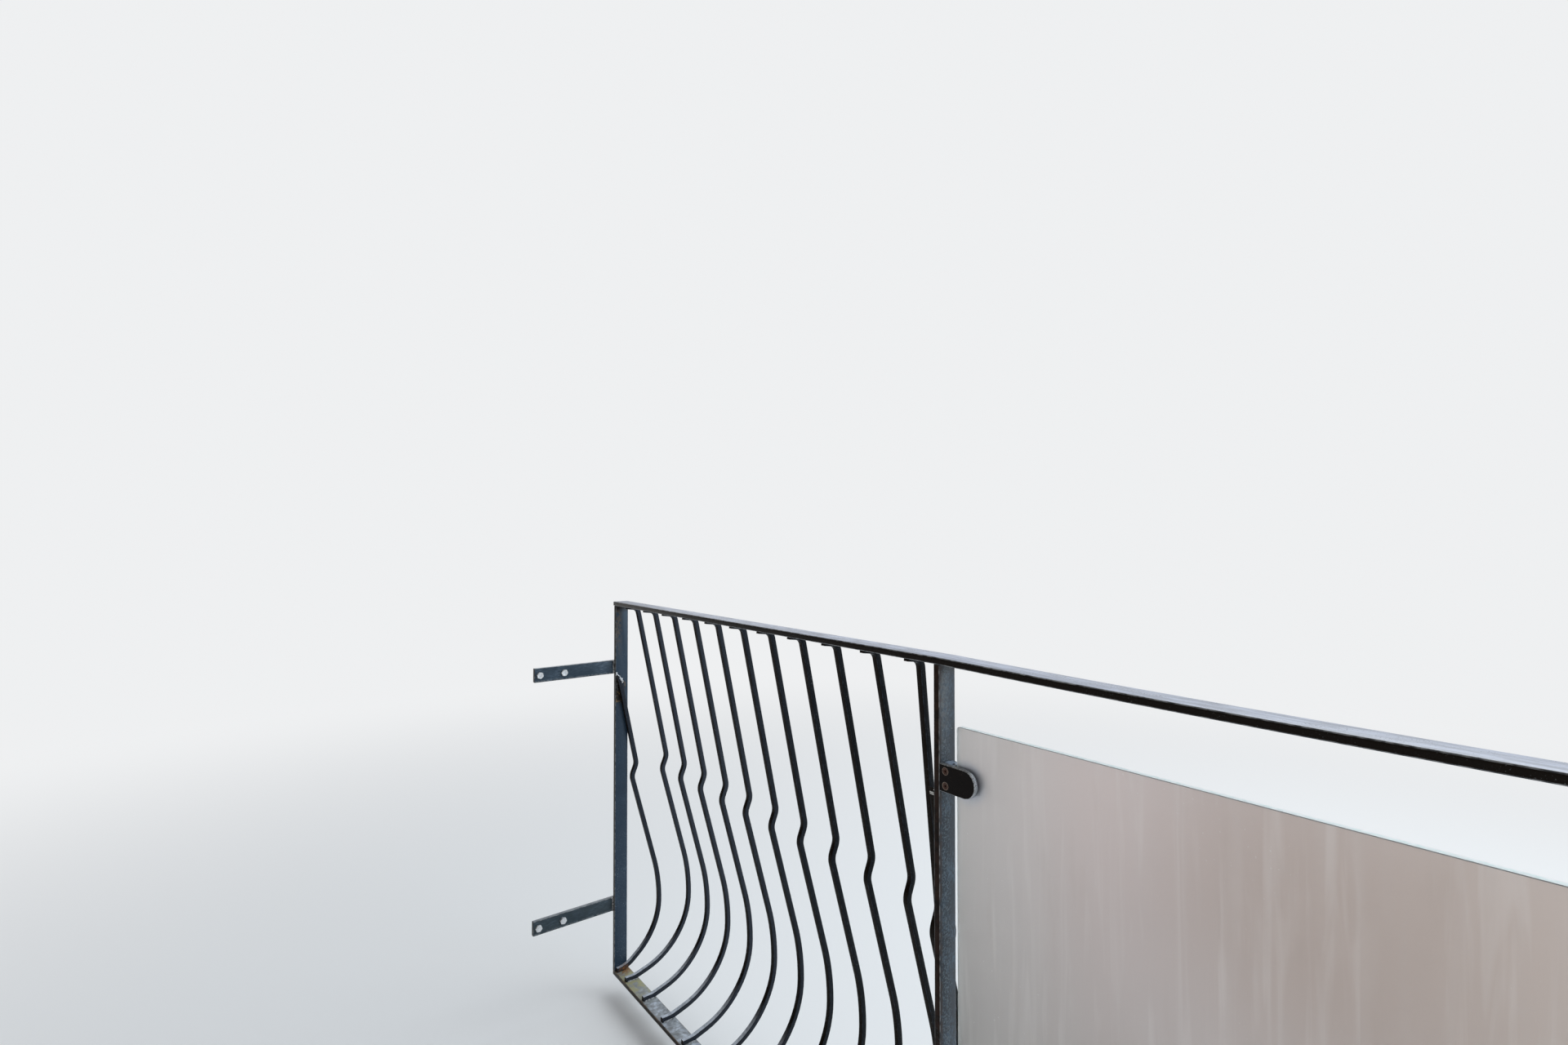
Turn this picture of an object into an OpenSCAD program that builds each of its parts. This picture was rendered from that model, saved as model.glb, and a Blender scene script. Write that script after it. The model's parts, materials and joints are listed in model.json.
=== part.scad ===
/* [Opening] */
// Clear width of the opening, wall face to wall face
opening_w = 2562; // [1500:1:4000]

/* [Frame] */
// Height of the frame, underside of the bottom rail to the top of the top rail
guard_h = 1117; // [1050:1:1300]
// Width of both rails, from the room side to the street side
rail_w = 45; // [42:1:60]
// Thickness of both rails
rail_t = 12; // [8:1:16]
// Gap between each end of the top rail and its wall
top_rail_gap = 6; // [1:1:12]
// Width of the posts, from the room side to the street side
post_w = 40; // [36:1:45]
// Thickness of the posts along the opening
post_t = 12; // [8:1:16]

/* [Wall brackets] */
// Thickness of a bracket, which is also the gap between a wall post and its wall
bracket_t = 12; // [8:1:16]
// Length of bracket that shows on the wall, from the post inwards
bracket_free = 240; // [180:1:300]
// Length of bracket held between the post and the wall
bracket_lap = 34; // [20:1:36]
// Height of the brackets
bracket_h = 40; // [35:1:60]
// From the top of the top rail down to the middle of the upper brackets
upper_bracket_drop = 197; // [120:1:300]
// From the underside of the bottom rail up to the middle of the lower brackets
lower_bracket_rise = 208; // [120:1:300]
// Diameter of the bolt holes
bolt_hole_d = 11; // [7:0.5:13]
// From the free end of a bracket to the middle of its first hole
bolt_end = 15; // [12:1:30]
// Distance between the two holes of a bracket
bolt_pitch = 71; // [40:1:100]

/* [Bars] */
// Side of the square bars
bar_t = 12; // [10:1:16]
// Clear gap between the bars, which is also the most beside a post
bar_gap = 100; // [80:1:105]
// From the room side of the rails to the ends of the bars
bar_inset = 5; // [1:1:12]
// From the room side of the top rail out to the middle of a bar at its top bend
top_bend_out = 39.4; // [34:0.2:44]
// Radius of the top bend, to the middle of the bar
top_bend_r = 20; // [10:1:24]
// How thick the top leg still is at its inner end, where it is ground flush under the rail
leg_tip_t = 5; // [3:0.5:10]
// How thick it is at the top bend
leg_root_t = 9.5; // [8:0.5:12]
// From the room side out to the outer corner of the kink
kink_out = 137; // [120:1:150]
// Height of the outer corner of the kink over the bottom rail
kink_h = 636; // [550:1:700]
// How far the kink jogs back inwards
kink_in = 15; // [8:1:25]
// How far the kink drops while it jogs inwards
kink_drop = 36; // [32:1:60]
// Radius of the two kink bends
kink_r = 35; // [20:1:45]
// From the room side out to the middle of the bar at the belly
belly_out = 215; // [190:1:240]
// Height at which the lower slant would meet the belly
belly_h = 268; // [230:1:300]
// Radius of the bend above the belly
belly_r = 480; // [200:10:520]
// Height at which the belly would meet the sloping tail
tail_corner_h = 53; // [35:1:70]
// Radius of the large bend below the belly
tail_r = 190; // [120:5:200]
// Length of tail that lies flat on the bottom rail, bend corner included
tail_flat = 30; // [20:1:38]
// Radius of the bend where the tail meets the rail
tail_bend_r = 80; // [30:5:100]
// How far the last bar before the middle post is bent inwards of the others
last_bar_in = 50; // [0:1:60]
// Height at which the belly of that bar would meet its tail
last_tail_corner_h = 72; // [50:1:90]

/* [End bars] */
// How far the end bar beside the wall stands inwards of the others
end_bar_in = 71; // [60:1:85]
// How far it sits below the others
end_bar_drop = 25; // [0:1:40]
// How far the end bar beside the middle post stands inwards of the others
middle_end_bar_in = 86; // [60:1:90]
// How far it sits below the others
middle_end_bar_drop = 6; // [0:1:40]
// From the room side out to the middle of an end bar where it is cut off at its post
end_bar_top_out = 8; // [6:1:20]
// Height of that place over the bottom rail
end_bar_top_h = 880; // [800:1:950]
// Angle of the cut, which falls outwards
end_bar_cut = 45; // [0:5:50]
// Height at which the belly of an end bar would meet its tail
end_tail_corner_h = 91; // [70:1:110]
// Height of the middle of its tail where it starts to rise off the rail
end_tail_rise = 14; // [10:1:20]
// From the room side out to that place
end_tail_out = 45; // [40:1:60]

/* [Glass] */
// Thickness of the glass
glass_t = 10; // [8:0.5:12]
// From the room side of the rails to the room side of the glass
glass_in = 10; // [10:0.5:14]
// Gap between the glass and the post at each side
glass_gap = 28; // [20:1:34]
// From the top of the top rail down to the glass
glass_drop = 109; // [90:1:300]
// Gap between the bottom rail and the glass
glass_lift = 46; // [20:1:120]
// Radius of the glass corners
glass_corner_r = 6; // [2:1:15]

/* [Clamps] */
// Length of a clamp, from the post to its round nose
clamp_l = 71; // [68:1:90]
// Height of a clamp
clamp_h = 45; // [42:1:60]
// Thickness of the front cover of a clamp
cover_t = 8; // [6:0.5:9]
// Thickness of the rear half of a clamp
rear_t = 9; // [6:0.5:12]
// Thickness of the rubber gaskets
gasket_t = 1.5; // [1:0.5:3]
// Chamfer round the face of a cover and round the back of a body
clamp_chamfer = 0.8; // [0.4:0.1:3]
// How far the gaskets stay inside the outline of the clamp
gasket_inset = 3; // [1:1:6]
// Room between the edge of the glass and the body of the clamp
glass_edge_room = 4; // [2:1:8]
// From the glass edge to the middle of the nearer clamps
clamp_from_edge = 87; // [50:1:200]
// From the post to the middle of the cover screws
screw_in = 12; // [8:1:14]
// Distance between the two cover screws
screw_pitch = 24; // [16:1:26]
// Diameter of the cover screws
screw_d = 6; // [4:0.5:7]
// How much wider than the screws their holes in the covers are
screw_play = 0.5; // [0.2:0.1:1]

/* [Hidden] */
// Distances along the opening, from the wall at the bar end
end_post_u = bracket_t;
middle_post_u = opening_w / 2 - post_t / 2;
far_post_u = opening_w - bracket_t - post_t;
bay_w = middle_post_u - end_post_u - post_t;
bar_pitch = bar_t + bar_gap;
bar_count = ceil((bay_w - 2 * bar_gap - bar_t) / bar_pitch) + 1;
first_bar_u = end_post_u + post_t + (bay_w - (bar_count - 1) * bar_pitch) / 2;
end_bar_u = end_post_u + post_t + bar_t / 2;
middle_end_bar_u = middle_post_u - bar_t / 2;

BARS = [for (i = [1 : bar_count]) str("bar_", i)];
CLAMPS = ["middle_upper", "middle_lower", "glass_end_upper", "glass_end_lower"];

STEEL = "#24282d";
FROSTED = "#b6b0aa";
CLAMP_BLACK = "#151515";
RUBBER = "#0c0c0c";

// How far a cut runs past the face that it starts from
CUT = 0.01;
// Steps of a full circle for round holes and noses
ROUND_STEPS = 48;
// Largest turn of one straight facet round a bend of a bar
BEND_STEP = 5;

// The origin is on the wall face of the upper bracket at the bar end, midway between its two
// bolts. X runs along the opening, and -Y points to the street.
room_y = -(bracket_free - bolt_end - bolt_pitch / 2);
top_z = upper_bracket_drop;
bottom_z = top_z - guard_h;
sill_z = bottom_z + rail_t;
lower_bracket_z = bottom_z + lower_bracket_rise;
post_l = guard_h - 2 * rail_t;

glass_u = middle_post_u + post_t + glass_gap;
glass_w = far_post_u - glass_gap - glass_u;
glass_low_z = sill_z + glass_lift;
glass_high_z = top_z - glass_drop;
clamp_nose_r = clamp_h / 2;
nose_x = clamp_l - clamp_nose_r;
clamp_u = middle_post_u + post_t;
glass_bay_span = clamp_u + far_post_u;
root_l = glass_gap - glass_edge_room;
upper_clamp_z = glass_high_z - clamp_from_edge;
lower_clamp_z = glass_low_z + clamp_from_edge;

// A box given by its place u along the opening, its place n outwards from the room side of
// the rails, its height z, and its size along each
module flat_bar(u, n, z, du, dn, dz) {
    translate([-u - du, room_y - n - dn, z])
        cube([du, dn, dz]);
}

// Turns an outline drawn as outward distance and height into a plate of thickness t whose
// middle is at u along the opening
module across(u, t) {
    translate([-(u - t / 2), room_y, 0])
        rotate([90, 0, -90])
            linear_extrude(t)
                children();
}

// Bent square bar: corners are [outward, height, bend radius], the bends are arcs
function unit(v) = v / norm(v);
function left_of(v) = [-v[1], v[0]];
function turned(v, a) = [v[0] * cos(a) - v[1] * sin(a), v[0] * sin(a) + v[1] * cos(a)];
function at(c, i) = [c[i][0], c[i][1]];
function heading(c, i) = unit(at(c, i + 1) - at(c, i));
function deflection(c, i) =
    let (a = heading(c, i - 1), b = heading(c, i))
    atan2(a[0] * b[1] - a[1] * b[0], a[0] * b[0] + a[1] * b[1]);
function is_bend(c, i) = i > 0 && i < len(c) - 1;
function tangent(c, i) = is_bend(c, i) ? c[i][2] * tan(abs(deflection(c, i)) / 2) : 0;
// Two bends share the straight between them, and shrink alike where it is too short
function share(c, i) = min(1, norm(at(c, i + 1) - at(c, i)) / (tangent(c, i) + tangent(c, i + 1)));
function fitted(c, i) = tangent(c, i) * min(share(c, i - 1), share(c, i));
function bend_points(c, i) =
    let (
        a = deflection(c, i),
        t = fitted(c, i),
        r = t / tan(abs(a) / 2),
        h = heading(c, i - 1),
        start = at(c, i) - h * t,
        side = a > 0 ? 1 : -1,
        middle = start + left_of(h) * r * side,
        steps = ceil(abs(a) / BEND_STEP)
    )
    [for (k = [0 : steps]) [middle + turned(start - middle, a * k / steps), turned(h, a * k / steps)]];
function run_of(c) = concat(
    [[at(c, 0), heading(c, 0)]],
    [for (i = [1 : len(c) - 2]) each bend_points(c, i)],
    [[at(c, len(c) - 1), heading(c, len(c) - 2)]]
);
function strip(run, half) = concat(
    [for (p = run) p[0] + left_of(p[1]) * half],
    [for (k = [len(run) - 1 : -1 : 0]) run[k][0] - left_of(run[k][1]) * half]
);

// The kink and the start of the belly, moved inwards and down
function kink_corners(in, drop) = [
    [kink_out - in, kink_h - drop, kink_r],
    [kink_out - in - kink_in, kink_h - drop - kink_drop, kink_r],
    [belly_out - in, belly_h - drop, belly_r]
];

// A whole bar: the top leg starts above the underside of the rail, and is cut off there
function bar_corners(in, corner_h) = concat(
    [[bar_inset, post_l - leg_tip_t + bar_t / 2, 0]],
    [[top_bend_out, post_l - leg_root_t + bar_t / 2, top_bend_r]],
    kink_corners(in, 0),
    [[belly_out - in, corner_h, tail_r]],
    [[bar_inset + tail_flat, bar_t / 2, tail_bend_r]],
    [[bar_inset, bar_t / 2, 0]]
);

// An end bar: its upper slant starts a little above the place where it is cut off
end_bar_top = [end_bar_top_out, end_bar_top_h];
function end_bar_corners(in, drop) =
    let (
        kink = [kink_out - in, kink_h - drop],
        start = end_bar_top + unit(end_bar_top - kink) * 2 * bar_t
    )
    concat(
        [[start[0], start[1], 0]],
        kink_corners(in, drop),
        [[belly_out - in, end_tail_corner_h, tail_r]],
        [[end_tail_out, end_tail_rise, tail_bend_r]],
        [[bar_inset + bar_t, bar_t / 2, tail_bend_r]],
        [[bar_inset, bar_t / 2, 0]]
    );

module bar_outline(corners) {
    polygon(strip(run_of(corners), bar_t / 2));
}

// Turns a bar's side view into the bar with its middle at u
module bar_at(u) {
    color(STEEL)
        translate([0, 0, sill_z])
            across(u, bar_t)
                children();
}

module bar(u, in, corner_h) {
    bar_at(u)
        difference() {
            bar_outline(bar_corners(in, corner_h));
            translate([0, post_l])
                square([rail_w + bar_t, 2 * bar_t]);
        }
}

module end_bar(u, in, drop) {
    bar_at(u)
        difference() {
            bar_outline(end_bar_corners(in, drop));
            translate(end_bar_top)
                rotate(-end_bar_cut)
                    translate([-3 * bar_t, 0])
                        square([6 * bar_t, 3 * bar_t]);
        }
}

// Runs along the opening, its ends short of the walls by gap
module rail(z, gap) {
    color(STEEL)
        flat_bar(gap, 0, z, opening_w - 2 * gap, rail_w, rail_t);
}

module post(u) {
    color(STEEL)
        flat_bar(u, 0, sill_z, post_t, post_w, post_l);
}

// Drilled flat on the wall at the bar end, middle height z
module bracket(z) {
    color(STEEL)
        difference() {
            flat_bar(0, -bracket_free, z - bracket_h / 2, bracket_t, bracket_free + bracket_lap, bracket_h);
            for (k = [-1, 1])
                translate([-bracket_t - 1, k * bolt_pitch / 2, z])
                    rotate([0, 90, 0])
                        cylinder(h = bracket_t + 2, d = bolt_hole_d, $fn = ROUND_STEPS);
        }
}

// Mirrors a piece at one end of a span, measured from the wall at the bar end, to its other end
module at_far_end(span) {
    translate([-span, 0, 0])
        mirror([1, 0, 0])
            children();
}

module glass_panel() {
    w = glass_w - 2 * glass_corner_r;
    h = glass_high_z - glass_low_z - 2 * glass_corner_r;
    color(FROSTED, 0.85)
        translate([-glass_u - glass_w, room_y - glass_in, glass_low_z])
            rotate([90, 0, 0])
                linear_extrude(glass_t)
                    union() {
                        translate([glass_corner_r, 0])
                            square([w, h + 2 * glass_corner_r]);
                        translate([0, glass_corner_r])
                            square([w + 2 * glass_corner_r, h]);
                        for (x = [0, w], y = [0, h])
                            translate([glass_corner_r + x, glass_corner_r + y])
                                circle(r = glass_corner_r, $fn = ROUND_STEPS);
                    }
}

// D outline: flat end at x = 0, round nose at x = clamp_l, drawn smaller by inset
module d_outline(inset) {
    r = clamp_nose_r - inset;
    translate([nose_x, 0])
        circle(r = r, $fn = 2 * ROUND_STEPS);
    translate([0, -r])
        square([nose_x, 2 * r]);
}

// D plate t thick whose outer face, at z = t, has a chamfered rim: the part of the plate that
// lies inside a cone at the nose and a ridge along the straight sides
module d_plate(t) {
    high_r = clamp_nose_r - clamp_chamfer;
    low_r = high_r + t;
    intersection() {
        linear_extrude(t)
            d_outline(0);
        union() {
            translate([nose_x, 0, 0])
                cylinder(h = t, r1 = low_r, r2 = high_r, $fn = 2 * ROUND_STEPS);
            rotate([90, 0, 90])
                linear_extrude(nose_x)
                    polygon([[-low_r, 0], [low_r, 0], [high_r, t], [-high_r, t]]);
        }
    }
}

// Puts a clamp piece on the glass side of the middle post. It is drawn with its length along
// x, its height along y and its outward face along z, and its z = 0 goes to n outwards.
module on_post(n, z) {
    translate([-clamp_u, room_y - n, z])
        mirror([1, 0, 0])
            rotate([90, 0, 0])
                children();
}

module screw_places() {
    for (k = [-1, 1])
        translate([screw_in, k * screw_pitch / 2, 0])
            children();
}

// Rear half of a clamp: a thick D plate with a slot for the glass and the gaskets, open at the
// nose, which leaves a root at the post
module clamp_body(z) {
    slot_t = glass_t + 2 * gasket_t;
    color(CLAMP_BLACK)
        on_post(glass_in - gasket_t, z)
            difference() {
                d_plate(slot_t + rear_t);
                translate([root_l, -clamp_h, -1])
                    cube([clamp_l, 2 * clamp_h, slot_t + 1]);
                screw_places()
                    translate([0, 0, -1])
                        cylinder(h = glass_t + 1, d = screw_d, $fn = ROUND_STEPS);
            }
}

// Front half of a clamp, with two countersunk screw holes over the root
module clamp_cover(z) {
    color(CLAMP_BLACK)
        on_post(glass_in - gasket_t, z)
            mirror([0, 0, 1])
                difference() {
                    d_plate(cover_t);
                    screw_places() {
                        translate([0, 0, -1])
                            cylinder(h = cover_t + 2, d = screw_d + screw_play, $fn = ROUND_STEPS);
                        translate([0, 0, cover_t - screw_d / 2])
                            cylinder(h = screw_d / 2 + CUT, d1 = screw_d, d2 = 2 * screw_d, $fn = ROUND_STEPS);
                    }
                }
}

// The two rubber pads of a clamp, one on each face of the glass
module clamp_gaskets(z) {
    color(RUBBER)
        for (n = [glass_in - gasket_t, glass_in + glass_t])
            on_post(n, z)
                linear_extrude(gasket_t)
                    intersection() {
                        d_outline(gasket_inset);
                        translate([glass_gap, -clamp_h])
                            square([clamp_l, 2 * clamp_h]);
                    }
}

rail(top_z - rail_t, top_rail_gap);  // top_rail
rail(bottom_z, bracket_t);  // bottom_rail
post(end_post_u);  // bar_end_post
post(middle_post_u);  // middle_post
post(far_post_u);  // glass_end_post
bracket(0);  // bar_end_upper_bracket
bracket(lower_bracket_z);  // bar_end_lower_bracket
at_far_end(opening_w) bracket(0);  // glass_end_upper_bracket
at_far_end(opening_w) bracket(lower_bracket_z);  // glass_end_lower_bracket
for (i = [1 : bar_count]) {
    last = i == bar_count;
    bar(
            first_bar_u + (i - 1) * bar_pitch,
            last ? last_bar_in : 0,
            last ? last_tail_corner_h : tail_corner_h
        );
}
end_bar(end_bar_u, end_bar_in, end_bar_drop);
end_bar(middle_end_bar_u, middle_end_bar_in, middle_end_bar_drop);  // middle_end_bar
glass_panel();
for (level = [["upper", upper_clamp_z], ["lower", lower_clamp_z]]) {
    near = str("middle_", level[0]);
    far = str("glass_end_", level[0]);
    z = level[1];
    clamp_body(z);
    clamp_cover(z);
    clamp_gaskets(z);
    at_far_end(glass_bay_span) clamp_body(z);
    at_far_end(glass_bay_span) clamp_cover(z);
    at_far_end(glass_bay_span) clamp_gaskets(z);
}
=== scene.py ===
# %% [markdown]
# # A guard railing with bellied bars and a frosted glass bay
#
# The real object closes an opening from wall to wall. Two steel flats lie along the top and the
# bottom, three flats stand between them, and four short flats hold the frame to the side walls.
# One bay is filled with square bars bent to a belly, the other with a sheet of frosted glass in
# four clamps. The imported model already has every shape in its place. Here each part gets what a
# welder, a painter and the weather gave it.

import json
import math

import bmesh
import bpy
from mathutils import Matrix, Vector


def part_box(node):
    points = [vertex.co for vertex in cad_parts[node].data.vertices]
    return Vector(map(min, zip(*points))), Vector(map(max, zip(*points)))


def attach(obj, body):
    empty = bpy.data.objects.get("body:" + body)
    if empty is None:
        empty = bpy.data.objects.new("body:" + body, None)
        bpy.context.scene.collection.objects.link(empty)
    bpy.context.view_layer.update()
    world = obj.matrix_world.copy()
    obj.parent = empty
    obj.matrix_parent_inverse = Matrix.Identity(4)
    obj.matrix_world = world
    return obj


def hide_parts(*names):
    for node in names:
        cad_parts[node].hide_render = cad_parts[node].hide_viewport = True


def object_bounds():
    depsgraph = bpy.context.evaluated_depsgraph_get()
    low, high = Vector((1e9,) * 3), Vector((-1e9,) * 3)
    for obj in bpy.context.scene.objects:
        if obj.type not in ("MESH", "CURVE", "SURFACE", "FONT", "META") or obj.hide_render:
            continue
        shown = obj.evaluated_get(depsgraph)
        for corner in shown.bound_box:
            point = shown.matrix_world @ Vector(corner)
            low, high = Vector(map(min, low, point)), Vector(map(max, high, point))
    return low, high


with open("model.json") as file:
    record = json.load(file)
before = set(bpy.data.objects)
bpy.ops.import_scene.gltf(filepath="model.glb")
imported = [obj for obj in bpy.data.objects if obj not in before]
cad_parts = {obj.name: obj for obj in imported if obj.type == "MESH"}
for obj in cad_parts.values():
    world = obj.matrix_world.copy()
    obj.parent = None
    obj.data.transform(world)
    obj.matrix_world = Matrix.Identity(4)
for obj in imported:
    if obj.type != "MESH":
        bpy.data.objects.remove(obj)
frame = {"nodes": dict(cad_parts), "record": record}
cad_low, cad_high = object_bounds()
MM = 0.001
BODY = "root"
print("nodes:", len(frame["nodes"]), "size:", [round(d, 3) for d in cad_high - cad_low])

# %% [markdown]
# ## A way to say where things are
#
# On site a railing is measured from a wall and a rail, and not from a bolt. `spot` takes a place
# along the opening from the wall at the bar end, a distance outwards from the room side of the
# rails, and a height over the bottom rail. It gives the same place in the frame of the model.
# `stretch` says where a part starts and ends along the opening.

# %% Measuring frame
sill_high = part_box("bottom_rail")[1]
room_y, sill_z = sill_high.y, sill_high.z
ceiling_h = (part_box("top_rail")[0].z - sill_z) / MM


def spot(along, out, height):
    return Vector((-along * MM, room_y - out * MM, sill_z + height * MM))


def stretch(node):
    low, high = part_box(node)
    return -high.x / MM, -low.x / MM


WALL_POST = stretch("bar_end_post")
MIDDLE_POST = stretch("middle_post")
FAR_POST = stretch("glass_end_post")
POSTS = (WALL_POST, MIDDLE_POST, FAR_POST)
BRACKET_T = stretch("bar_end_upper_bracket")[1]
BRACKET_HEIGHTS = (908.0, 196.0)
BRACKET_HALF = 20.0
print("clear height between the rails, mm:", round(ceiling_h, 1))
print("posts along the opening, mm:", [round(sum(post) / 2) for post in POSTS])

# %% [markdown]
# ## The camera
#
# The view is from inside, a little above the top rail, looking along the railing and out. The eye
# point and the turn come from fitting the straight edges of the railing to the picture. The lens
# follows from the same fit: 903 pixels of focal length in a frame 1920 pixels wide.

# %% Camera
EYE = Vector((-2.1059, 0.7529, 0.4007))
YAW = 0.6489
PITCH = 0.0162
FOCAL_PX = 903.0
FRAME_PX = 1920
SENSOR = 36.0

level_part = math.cos(PITCH)
forward = Vector((level_part * math.cos(YAW), -level_part * math.sin(YAW), math.sin(PITCH)))
right = Vector((-math.sin(YAW), -math.cos(YAW), 0.0))
up = right.cross(forward)


def placed(name, data):
    made = bpy.data.objects.new(name, data)
    bpy.context.scene.collection.objects.link(made)
    return made


camera_data = bpy.data.cameras.new("camera")
camera_data.sensor_width = SENSOR
camera_data.lens = SENSOR * FOCAL_PX / FRAME_PX
camera = placed("camera", camera_data)
turn = Matrix((right, up, -forward)).transposed().to_4x4()
camera.matrix_world = Matrix.Translation(EYE) @ turn
bpy.context.scene.camera = camera
print("lens, mm:", round(camera_data.lens, 2))

# %% [markdown]
# ## Node trees from plain Python
#
# Materials and shape trees are both graphs of nodes. `Graph.node` adds one node of any type, sets
# it, and fills its sockets with values or links. `Wire` stands for one output, and adds a Math
# node for each operator, so that `1 - mask * 0.5` reads as it does on paper. `step` and `mixed`
# are the two nodes that every finish needs: a soft threshold, and one colour laid over another.

# %% Graph and wire
MATHS = "ShaderNodeMath"


class Wire:
    def __init__(self, graph, socket):
        self.graph = graph
        self.socket = socket

    def maths(self, operation, first, second=0.0):
        return self.graph.node(MATHS, {"operation": operation}, {0: first, 1: second})

    def __add__(self, other):
        return self.maths("ADD", self, other)

    __radd__ = __add__

    def __sub__(self, other):
        return self.maths("SUBTRACT", self, other)

    def __rsub__(self, other):
        return self.maths("SUBTRACT", other, self)

    def __mul__(self, other):
        return self.maths("MULTIPLY", self, other)

    __rmul__ = __mul__

    def __truediv__(self, other):
        return self.maths("DIVIDE", self, other)

    def __pow__(self, other):
        return self.maths("POWER", self, other)

    def held(self):
        return self.graph.node(MATHS, {"operation": "ADD", "use_clamp": True}, {0: self, 1: 0.0})


class Graph:
    def __init__(self, tree):
        self.tree = tree

    def node(self, kind, settings=None, inputs=None, output=0):
        made = self.tree.nodes.new(kind)
        for name, value in (settings or {}).items():
            setattr(made, name, value)
        for key, value in (inputs or {}).items():
            self.fill(self.find(made.inputs, key), value)
        return Wire(self, self.find(made.outputs, output))

    @staticmethod
    def find(sockets, key):
        if isinstance(key, int):
            return sockets[key]
        return next(s for s in sockets if key in (s.identifier, s.name))

    def fill(self, socket, value):
        if isinstance(value, Wire):
            self.tree.links.new(value.socket, socket)
        else:
            socket.default_value = value

    def step(self, value, low, high):
        return self.node("ShaderNodeMapRange", {"interpolation_type": "SMOOTHSTEP"}, {
            "Value": value, "From Min": low, "From Max": high})

    def vectors(self, operation, first, second, output="Value"):
        return self.node("ShaderNodeVectorMath", {"operation": operation}, {
            0: first, 1: second}, output=output)

    def mixed(self, share, first, second):
        def colour(c):
            return c if isinstance(c, Wire) else (*c, 1.0)
        return self.node("ShaderNodeMix", {"data_type": "RGBA"}, {
            "Factor_Float": share, "A_Color": colour(first), "B_Color": colour(second)}, output=2)


# %% [markdown]
# ## Patterns that every finish here shares
#
# Paint, dirt, rust and lichen are all patches with soft, uneven edges. `patchy` is a noise pushed
# through a smooth step, which gives such patches. `near` is a soft ball round a place on the
# object, so that rust can sit at a weld, and `within` is a soft-edged range of one coordinate.
# `beyond` and `above` grow along the opening and upwards, between two distances in metres. `lay`
# puts one more colour on, where a mask says so.
# All of them read Object coordinates, and they don't slide, because every finished piece has its
# origin at the frame's.

# %% Patterns


class Finish(Graph):
    def __init__(self, name):
        self.material = bpy.data.materials.new(name)
        self.material.use_nodes = True
        super().__init__(self.material.node_tree)
        self.shader = self.tree.nodes["Principled BSDF"]
        self.place = self.node("ShaderNodeTexCoord", output="Object")
        self.way = self.node("ShaderNodeNewGeometry", output="Normal")

    def set(self, **values):
        for name, value in values.items():
            self.fill(self.find(self.shader.inputs, name.replace("_", " ")), value)

    def stretched(self, x, y, z):
        return self.node("ShaderNodeMapping", {}, {"Vector": self.place, "Scale": (x, y, z)})

    def noise(self, scale, detail=3.0, at=None, distortion=0.0):
        return self.node("ShaderNodeTexNoise", {}, {
            "Vector": at or self.place, "Scale": scale, "Detail": detail,
            "Distortion": distortion})

    def patchy(self, scale, low, high, detail=3.0, at=None):
        return self.step(self.noise(scale, detail, at=at), low, high)

    def lay(self, mask, colour):
        self.colour = self.mixed(mask, self.colour, colour)

    def near(self, centre, reach, core=0.0):
        return 1 - self.step(self.vectors("DISTANCE", self.place, tuple(centre)), core, reach)

    def axis(self, name):
        return self.node("ShaderNodeSeparateXYZ", {}, {0: self.place}, output=name)

    def beyond(self, low, high):
        return self.step(self.axis("X") * -1.0, low, high)

    def above(self, low, high):
        return self.step(self.axis("Z"), sill_z + low, sill_z + high)

    def within(self, name, low, high, soft=1.0 * MM):
        value = self.axis(name)
        past_low = self.step(value, low - soft, low + soft)
        return past_low * (1 - self.step(value, high - soft, high + soft))

    def facing(self, x, y, z, low, high):
        return self.step(self.vectors("DOT_PRODUCT", self.way, (x, y, z)), low, high)

    def bump(self, height, distance, strength=1.0):
        return self.node("ShaderNodeBump", {}, {
            "Height": height, "Distance": distance, "Strength": strength})


# %% [markdown]
# ## A pale room for the picture
#
# The floor lies where the slab of the real opening is. Floor and surroundings are pale, and the
# light is soft. The side towards the street is bright, as a sky is, and the side behind the camera
# is dim and a little warm, as a room is. Black paint shows its form by what it mirrors, so it
# needs that difference: glossy rays see the pale backdrop too, but dimmed towards the room.

# %% Floor and surroundings
SLAB_DROP = 66.5
FLOOR_HALF = 60.0
FLOOR_FADE = (1.2, 6.0)
PALE = (0.86, 0.87, 0.88)
FLOOR = (0.88, 0.87, 0.85)
SKY = (0.92, 1.00, 1.10)
ROOM = (0.12, 0.10, 0.08)

floor_mesh = bpy.data.meshes.new("floor")
floor_z = sill_z - SLAB_DROP * MM
floor_mesh.from_pydata([(x * FLOOR_HALF, y * FLOOR_HALF, floor_z)
                        for x, y in ((-1, -1), (1, -1), (1, 1), (-1, 1))], [], [(0, 1, 2, 3)])
floor = placed("floor", floor_mesh)
ground = Finish("pale_floor")
ground.set(Base_Color=(*FLOOR, 1.0), Roughness=0.9)
backdrop = ground.node("ShaderNodeEmission", {}, {"Color": (*PALE, 1.0)})
middle = (cad_low + cad_high) / 2
away = ground.vectors("DISTANCE", ground.place, (middle.x, room_y, floor_z))
lit_floor = Wire(ground, ground.shader.outputs[0])
blended = ground.node("ShaderNodeMixShader", {}, {
    0: ground.step(away, *FLOOR_FADE), 1: lit_floor, 2: backdrop})
ground.fill(ground.tree.nodes["Material Output"].inputs["Surface"], blended)
floor_mesh.materials.append(ground.material)

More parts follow.
